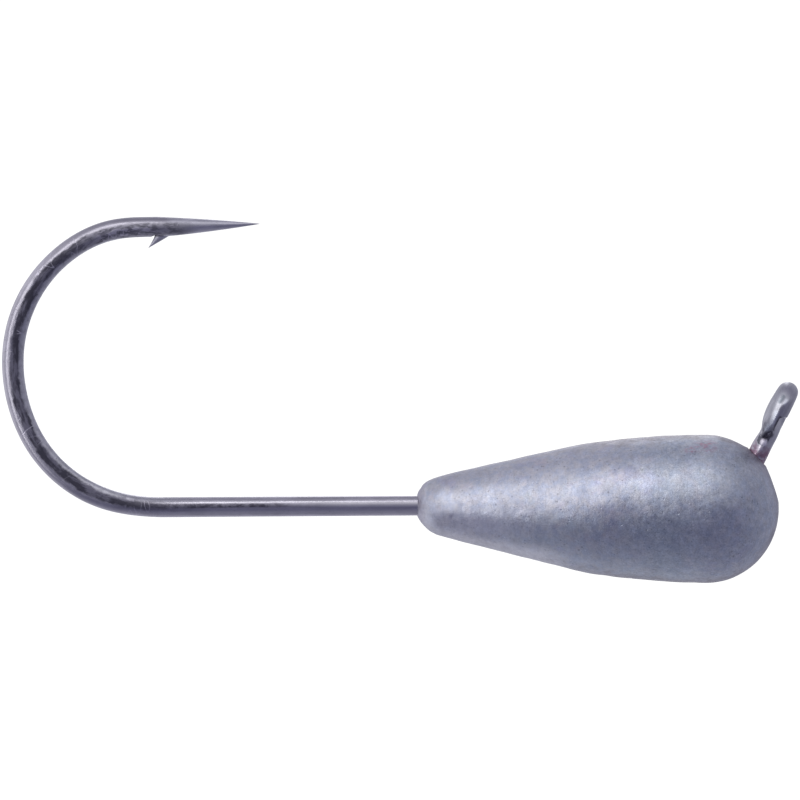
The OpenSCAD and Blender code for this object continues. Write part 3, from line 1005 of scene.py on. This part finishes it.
def wire_material():
    """Tinned hook wire: smooth, violet grey and glossy along the shank, and dull, dark and scuffed
    on the flats of the bend, where the press gripped it. The flats' dark is partly a painted dark
    reflection; the shank carries a painted sheen, and the eye painted highlights and shade."""
    mat, g, bsdf = new_material("hook_wire")
    at = g.add("ShaderNodeAttribute", attribute_name="tube").outputs["Vector"]
    xyz = g.add("ShaderNodeSeparateXYZ", {0: at})
    plane, out, run = (xyz.outputs[i] for i in range(3))

    drawn = g.noise(at, (5.5, 5.5, 0.16), 4, 0.6, 4.0)
    blotch = g.noise(at, (1.3, 1.3, 0.55), 4, 0.6, 15.0)
    fine = g.noise(at, (7.0, 7.0, 3.0), 3, 0.6, 26.0)
    tone = g.total(
        0.5,
        g.times(g.math("SUBTRACT", blotch, 0.5), 1.3),
        g.times(g.math("SUBTRACT", drawn, 0.5), 1.0),
        g.times(g.math("SUBTRACT", fine, 0.5), 0.7),
    )
    colour = g.mix(g.ramp(tone, 0.1, 0.9), (0.325, 0.313, 0.345), (0.442, 0.428, 0.470))

    # The flats that the press left on both sides of the bend, ragged at their edges
    on_bend = g.times(g.ramp(run, 3.3, 5.0), g.ramp(run, 29.0, 34.5, 1.0, 0.0))
    near_point = g.times(g.ramp(run, 13.2, 9.0), on_bend)
    edge_wave = g.total(
        g.times(g.math("SUBTRACT", g.noise(at, (1.0, 1.0, 0.8), 3, 0.6, 33.0), 0.5), 0.34),
        g.times(g.math("SUBTRACT", g.noise(at, (3.2, 3.2, 2.4), 4, 0.65, 37.0), 0.5), 0.30),
    )
    flat_gap = g.math("SUBTRACT", g.math("ABSOLUTE", g.total(
        plane, edge_wave, g.math("MULTIPLY_ADD", near_point, 0.09, 0.07))), g.times(near_point, 0.10))
    on_flat = g.times(g.ramp(flat_gap, 0.17, 0.33, 1.0, 0.0), on_bend)
    scuff = g.ramp(g.noise(at, (3.0, 2.2, 0.75), 5, 0.68, 44.0), 0.46, 0.63)
    dark = g.mix(scuff, (0.048, 0.046, 0.062), (0.175, 0.168, 0.205))
    grit = g.ramp(g.noise(at, (5.4, 4.6, 2.0), 4, 0.66, 41.0), 0.40, 0.60)
    dark = g.mix(near_point, dark, g.mix(grit, (0.150, 0.145, 0.166), (0.330, 0.322, 0.352)))
    inner_side = g.times(g.ramp(plane, -0.15, -0.42), on_bend)
    colour = g.mix(g.times(inner_side, 0.70), colour, (0.52, 0.52, 0.545))
    grains = g.noise(at, (3.6, 3.6, 2.6), 4, 0.72, 97.0)
    colour = g.mix(g.times(inner_side, g.ramp(grains, 0.38, 0.56, 0.55, 0.0)), colour, (0.285, 0.280, 0.300))
    # Near the point the outer side is painted darker: painted shade that dims its highlight
    colour = g.mix(g.times(near_point, g.ramp(plane, 0.12, 0.40), 0.65), colour, (0.240, 0.232, 0.268))
    # The point is ground, and the barb is cut: a greyer, duller surface
    ground = g.math("MAXIMUM", g.ramp(run, 4.6, 5.6, 1.0, 0.0),
                    g.times(g.ramp(plane, -0.54, -0.62), g.ramp(run, 7.5, 7.0)))
    grind = g.noise(at, (3.0, 3.0, 1.0), 4, 0.65, 93.0)
    colour = g.mix(g.times(ground, 0.85), colour,
                   g.mix(g.ramp(grind, 0.35, 0.65), (0.385, 0.382, 0.420), (0.500, 0.492, 0.540)))
    # The shank: painted sheen below its middle, and a painted widening of its highlight near the casting
    painted_sheen = g.math("MAXIMUM",
                   g.times(g.ramp(plane, 0.02, 0.12), g.ramp(plane, 0.28, 0.44, 1.0, 0.0),
                           g.ramp(run, 31.0, 35.5), 0.45),
                   g.times(g.ramp(plane, -0.24, -0.17), g.ramp(plane, 0.04, 0.10, 1.0, 0.0),
                           g.ramp(run, 39.6, 42.4), 0.60))
    colour = g.mix(painted_sheen, colour, (0.620, 0.605, 0.615))
    # The press's edge ran on along the shank and left a speckled dark line
    aside = g.math("ABSOLUTE", g.total(plane, g.ramp(run, 32.0, 37.0, 0.065, 0.085), g.times(edge_wave, 0.30)))
    reach = g.ramp(run, 30.0, 38.5, 0.125, 0.080)
    speckle = g.ramp(g.noise(at, (3.4, 2.4, 2.1), 4, 0.7, 48.0), 0.40, 0.56, 0.42, 1.0)
    dragged = g.times(
        g.ramp(g.math("SUBTRACT", aside, reach), -0.03, 0.06, 1.0, 0.0), speckle,
        g.ramp(run, 28.5, 31.5), g.ramp(run, 32.5, 36.5, 0.80, 0.92), g.ramp(run, 37.6, 40.2, 1.0, 0.0))
    second = g.times(
        g.ramp(g.math("ABSOLUTE", g.total(plane, -0.17, g.times(edge_wave, 0.3))), 0.03, 0.11, 1.0, 0.0),
        speckle, g.ramp(run, 28.5, 31.0), g.ramp(run, 32.0, 35.0, 0.22, 0.0))
    colour = g.mix(g.math("MAXIMUM", dragged, second), colour, (0.075, 0.070, 0.092))
    # The flats are painted dark: their scuffed finish, and partly a painted dark reflection, darker on the near side
    # than the far side
    colour = g.mix(g.times(on_flat, g.ramp(out, -0.1, 0.1, 0.93, 0.55)), colour, dark)
    # The eye is greyer, where the wire was turned and dressed
    on_eye = g.ramp(run, EYE_S, EYE_S + 1.2)
    colour = g.mix(g.times(on_eye, 0.75), colour,
                   g.mix(g.ramp(tone, 0.2, 0.8), (0.288, 0.294, 0.320), (0.380, 0.387, 0.416)))
    # Bright nicks across the flats, and rubbed streaks behind the barb
    nick_at = g.add("ShaderNodeMapping", {
        "Vector": at, "Rotation": (0.0, math.radians(24), 0.0), "Scale": (0.5, 0.5, 1.7)
    }).outputs[0]
    nick = g.times(
        g.ramp(g.math("ABSOLUTE", g.math("SUBTRACT", g.noise(nick_at, 1.0, 1, 0.4, 51.0), 0.5)), 0.0, 0.018, 1.0, 0.0),
        g.ramp(g.noise(at, (0.9, 0.9, 0.6), 2, 0.5, 55.0), 0.50, 0.60),
        on_bend,
    )
    rub = g.times(
        g.ramp(g.noise(at, (4.6, 3.8, 1.5), 3, 0.6, 59.0), 0.52, 0.58),
        g.ramp(run, 4.9, 6.6), g.ramp(run, 8.8, 10.0, 1.0, 0.0),
        g.ramp(flat_gap, 0.10, 0.26, 1.0, 0.0),
    )
    colour = g.mix(g.math("MINIMUM", g.math("ADD", g.times(nick, 0.75), g.times(rub, 0.7)), 1.0),
                   colour, (0.52, 0.50, 0.56))
    # Specks of dirt all over, sparse
    dirt = g.times(g.ramp(g.cells(at, 3.4, 2.2), 0.09, 0.22, 1.0, 0.0),
                   g.ramp(g.noise(at, (0.8, 0.8, 0.5), 2, 0.5, 63.0), 0.50, 0.62))
    colour = g.mix(g.times(dirt, 0.45), colour, (0.15, 0.14, 0.17))

    # Painted shade with grime in the crevices of the eye and under its free end, a painted shadow in the slit beside
    # its near turn, and painted highlights on the near turn
    spot = g.vector("MULTIPLY", g.add("ShaderNodeTexCoord").outputs["Object"], (1000.0,) * 3)
    crevice = g.add("ShaderNodeAttribute", attribute_name="crevice").outputs["Fac"]
    flat_spot = g.add("ShaderNodeSeparateXYZ", {0: spot})
    sx, sy, sz = (flat_spot.outputs[i] for i in range(3))

    def stroke(first, last, inner, outer):
        """1 along a stroke on the near side of the eye, from first to last in X and Z."""
        dx, dz = last[0] - first[0], last[1] - first[1]
        size = math.hypot(dx, dz)
        ux, uz = dx / size, dz / size
        rx, rz = g.math("SUBTRACT", sx, first[0]), g.math("SUBTRACT", sz, first[1])
        along = g.math("ADD", g.times(rx, ux), g.times(rz, uz))
        beyond = g.math("SUBTRACT", along, g.math("MINIMUM", g.math("MAXIMUM", along, 0.0), size))
        aside = g.math("SUBTRACT", g.times(rx, uz), g.times(rz, ux))
        gap = g.math("SQRT", g.math("ADD", g.times(beyond, beyond), g.times(aside, aside)))
        wave = g.times(g.math("SUBTRACT", g.noise(spot, 2.6, 2, 0.5, 23.0), 0.5), 0.10)
        return g.times(g.ramp(g.math("ADD", gap, wave), inner, outer, 1.0, 0.0), g.ramp(sy, -0.2, -0.45))

    # Painted highlights down the near turn of the eye
    painted_highlight = g.times(stroke((-0.18, -0.17), (-0.42, -0.68), 0.06, 0.22), g.ramp(sy, -0.75, -1.05))
    wear_and_painted_highlight = g.times(stroke((0.37, 0.53), (0.27, 0.36), 0.03, 0.17), g.ramp(sy, -0.6, -0.9))
    colour = g.mix(g.math("MAXIMUM", g.times(painted_highlight, 0.6), g.times(wear_and_painted_highlight, 0.45)), colour, (0.72, 0.75, 0.80))
    # Painted highlight lower down the near turn
    lower = g.times(stroke((-0.54, -0.88), (-0.70, -1.14), 0.05, 0.24), g.ramp(sy, -0.6, -0.9))
    colour = g.mix(g.times(lower, 0.40), colour, (0.72, 0.75, 0.80))
    cap = g.near(spot, (1.05, -0.3, 1.00), 0.60, 0.8)
    colour = g.mix(g.times(cap, 0.30), colour, (0.56, 0.56, 0.58))
    # A darker spot on top of the eye
    dark_spot_on_top = g.near(spot, (0.52, -1.1, 1.08), 0.55, 0.8)
    colour = g.mix(g.times(dark_spot_on_top, 0.40), colour, (0.20, 0.185, 0.25))
    # Painted shade over the top of the near turn, dimming its highlight there
    painted_shade_patch = g.times(stroke((0.21, 0.74), (0.02, 0.46), 0.04, 0.19), g.ramp(sy, -0.6, -0.9))
    colour = g.mix(g.times(painted_shade_patch, 0.85), colour, (0.190, 0.210, 0.235))
    # Painted shadow in the slit between the near turn and the stem
    painted_slit_shadow = stroke((0.02, -0.44), (-0.32, -1.14), 0.04, 0.16)
    # Painted shade and grime in the crevices, with painted shadow in the slit and under the tip of the free end
    painted_shade_and_grime = g.math("MAXIMUM", g.times(g.ramp(crevice, 0.02, 0.14, 1.0, 0.0), 0.85), g.math(
        "MAXIMUM", g.times(painted_slit_shadow, 0.85), g.times(
            stroke((-0.78, -1.46), (-0.50, -1.38), 0.10, 0.30),
            g.ramp(g.noise(spot, 4.0, 3, 0.6, 14.0), 0.32, 0.46))))
    colour = g.mix(painted_shade_and_grime, colour, (0.085, 0.082, 0.105))
    # Residue on the stem just above the lead: rust red low down, and a bright bead
    bead = g.math("MAXIMUM", g.near(spot, (-0.89, -0.62, -1.84), 0.30, 0.6),
                  g.times(g.near(spot, (-1.12, -0.60, -2.2), 0.27, 0.9), 0.7))
    root_s = float(POINT_END + SHANK_RUN + 2.0 * STEM_A + (STEM_LEN - BEND_LEG - 3.05))
    by_lead = g.ramp(g.math("ADD", run, g.times(g.math("SUBTRACT", g.noise(at, 2.4, 3, 0.6, 72.0), 0.5), 0.9)),
                     root_s + 0.25, root_s + 1.1, 1.0, 0.0)
    on_stem = g.ramp(run, root_s - 2.2, root_s - 1.8)
    rusty = g.times(by_lead, on_stem, g.ramp(g.noise(at, 2.6, 3, 0.6, 75.0), 0.30, 0.50))
    colour = g.mix(g.times(rusty, 0.85), colour, (0.230, 0.130, 0.185))
    colour = g.mix(bead, colour, (0.80, 0.765, 0.82))
    g.put(bsdf.inputs["Base Color"], colour)

    height = g.total(
        g.times(g.noise(at, (0.9, 0.9, 0.35), 2, 0.5, 81.0), 0.006),
        g.times(drawn, 0.0012),
        g.times(fine, 0.0007),
        g.times(on_bend, g.noise(at, (1.6, 1.6, 0.9), 3, 0.5, 86.0), 0.006),
        g.times(on_flat, g.noise(at, (2.6, 2.6, 1.6), 4, 0.65, 87.0), 0.010),
        g.times(on_flat, scuff, 0.0022),
        g.times(ground, grind, 0.0030),
        g.times(inner_side, grains, 0.0030),
        g.times(nick, -0.003),
        g.times(rub, 0.004),
        g.times(dirt, -0.002),
        g.times(rusty, g.noise(at, 5.0, 3, 0.6, 89.0), 0.010),
    )
    bump = g.add("ShaderNodeBump", {"Height": height, "Strength": 1.0, "Distance": 0.001})
    rough = g.total(
        0.195,
        g.times(g.math("SUBTRACT", blotch, 0.5), 0.12),
        g.times(g.math("SUBTRACT", fine, 0.5), 0.08),
        g.times(on_bend, 0.12),
        g.times(on_flat, 0.10),
        g.times(ground, 0.17),
        g.times(on_eye, 0.13),
        g.times(painted_shade_and_grime, 0.2),
        g.times(painted_highlight, 0.06),
        g.times(bead, 0.06),
        g.times(dirt, 0.1),
        g.times(rusty, 0.25),
    )
    g.put(bsdf.inputs["Roughness"], g.math("MAXIMUM", rough, 0.12))
    g.put(bsdf.inputs["Normal"], bump.outputs[0])
    bsdf.inputs["Metallic"].default_value = 1.0
    return mat


head.data.materials.clear()
head.data.materials.append(lead_material())
hook.data.materials.clear()
hook.data.materials.append(wire_material())


# ------------------------------------------------------------------ studio

scene = bpy.context.scene
scene.view_settings.view_transform = "Standard"
scene.view_settings.look = "None"

floor_z = cad_lo.z - 0.035
bm = bmesh.new()
bmesh.ops.create_circle(bm, cap_ends=True, segments=96, radius=0.42,
                        matrix=Matrix.Translation(Vector((-0.0216, 0, floor_z))))
floor_mesh = bpy.data.meshes.new("floor")
bm.to_mesh(floor_mesh)
bm.free()
floor = bpy.data.objects.new("floor", floor_mesh)
scene.collection.objects.link(floor)
mat, g, bsdf = new_material("floor_paper")
bsdf.inputs["Base Color"].default_value = (0.9, 0.9, 0.9, 1)
bsdf.inputs["Roughness"].default_value = 0.9
bsdf.inputs["Specular IOR Level"].default_value = 0.0
bsdf.inputs["Emission Color"].default_value = (1, 1, 1, 1)
bsdf.inputs["Emission Strength"].default_value = 0.45
# Paper from above, and nothing from below
clear = g.add("ShaderNodeBsdfTransparent").outputs[0]
under = g.add("ShaderNodeNewGeometry").outputs["Backfacing"]
sheet = g.add("ShaderNodeMixShader", {0: under, 1: bsdf.outputs[0], 2: clear})
surface = next(n for n in mat.node_tree.nodes if n.type == "OUTPUT_MATERIAL").inputs["Surface"]
g.put(surface, sheet.outputs[0])
floor.data.materials.append(mat)
floor.visible_glossy = False

# A white room, soft: panels all round, each a broad lobe of light. (azimuth right of the
# camera, elevation, how narrow, strength)
PANELS = [
    (0, 90, 3, 0.11), (0, -90, 3, 0.18), (180, 35, 5, 0.22), (180, -35, 5, 0.27),
    (-90, 0, 3, 0.95), (90, 0, 3, 0.245), (45, -45, 4, 0.105), (45, 45, 4, 0.28),
    (-45, 45, 4, 0.39), (-135, 30, 4, 0.43), (135, 30, 4, 0.27), (-135, -30, 4, 0.37),
    (135, -30, 4, 0.175), (0, 45, 4, 0.30), (25, 42, 16, 0.32),
]


def toward(azimuth, elevation):
    """Direction from the object, with azimuth 0 toward the camera and 90 to its right."""
    a, e = math.radians(azimuth), math.radians(elevation)
    return (math.sin(a) * math.cos(e), -math.cos(a) * math.cos(e), math.sin(e))


world = bpy.data.worlds.new("studio")
scene.world = world
world.use_nodes = True
g = Nodes(world.node_tree)
sky = g.add("ShaderNodeTexCoord").outputs["Generated"]
light_sum = 0.0
for azimuth, elevation, narrow, strength in PANELS:
    cosine = g.vector("DOT_PRODUCT", sky, toward(azimuth, elevation))
    lobe = g.math("EXPONENT", g.math("MULTIPLY_ADD", cosine, float(narrow), -float(narrow)))
    light_sum = g.math("MULTIPLY_ADD", lobe, strength, light_sum)
panels = g.add("ShaderNodeCombineColor",
               {0: light_sum, 1: light_sum, 2: g.math("ADD", light_sum, 0.11)}).outputs[0]
behind = g.add("ShaderNodeLightPath").outputs["Is Camera Ray"]
bg = g.add("ShaderNodeBackground", {"Color": g.mix(behind, panels, (1.1, 1.1, 1.1))})
g.add("ShaderNodeOutputWorld", {"Surface": bg.outputs[0]})



def strip_box(name, middle, along, half_long, half_wide, radiance):
    """A long softbox 0.7 m from the object, in the direction middle; its half sizes are tangents."""
    light = bpy.data.lights.new(name, "AREA")
    light.shape = "RECTANGLE"
    light.size, light.size_y = 1.4 * half_long, 1.4 * half_wide
    light.energy = radiance * math.pi * light.size * light.size_y
    box = bpy.data.objects.new(name, light)
    z_axis = Vector(middle).normalized()
    x_axis = (Vector(along) - Vector(along).dot(z_axis) * z_axis).normalized()
    y_axis = z_axis.cross(x_axis)
    spot = Vector((-0.0216, 0, 0)) + 0.7 * z_axis
    box.matrix_world = Matrix(
        [[x_axis[i], y_axis[i], z_axis[i], spot[i]] for i in range(3)] + [[0, 0, 0, 1]]
    )
    box.visible_camera = False
    scene.collection.objects.link(box)


# The key in front, high on the left, and one behind for the far side
strip_box("key", (-0.41874, -0.85221, 0.31368), (0.39426, 0.14057, 0.90818), 0.923, 0.117, 2.5)
strip_box("back", (0.05, 0.95, 0.30), (0.03, -0.30, 0.95), 0.60, 0.085, 1.25)

# ------------------------------------------------------------------ camera

cam_data = bpy.data.cameras.new("camera")
cam = bpy.data.objects.new("camera", cam_data)
scene.collection.objects.link(cam)
roll = math.radians(0.384)
DIST = 0.5
cam_data.sensor_width = 36
cam_data.lens = 36 * DIST / 0.045656
right, up, back = (
    Vector((math.cos(roll), 0, -math.sin(roll))),
    Vector((math.sin(roll), 0, math.cos(roll))),
    Vector((0, -1, 0)),
)
at = Vector((-0.021603, 0, 0.0007012)) + DIST * back
cam.matrix_world = Matrix(
    [[right[i], up[i], back[i], at[i]] for i in range(3)] + [[0, 0, 0, 1]]
)
cam_data.clip_start, cam_data.clip_end = 0.01, 10
scene.camera = cam

# ------------------------------------------------------------------ hand over

for piece, node, slot in ((head, "lead_head", "lead"), (hook, "hook", "hook_wire")):
    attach(piece, "root")
    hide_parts(node)
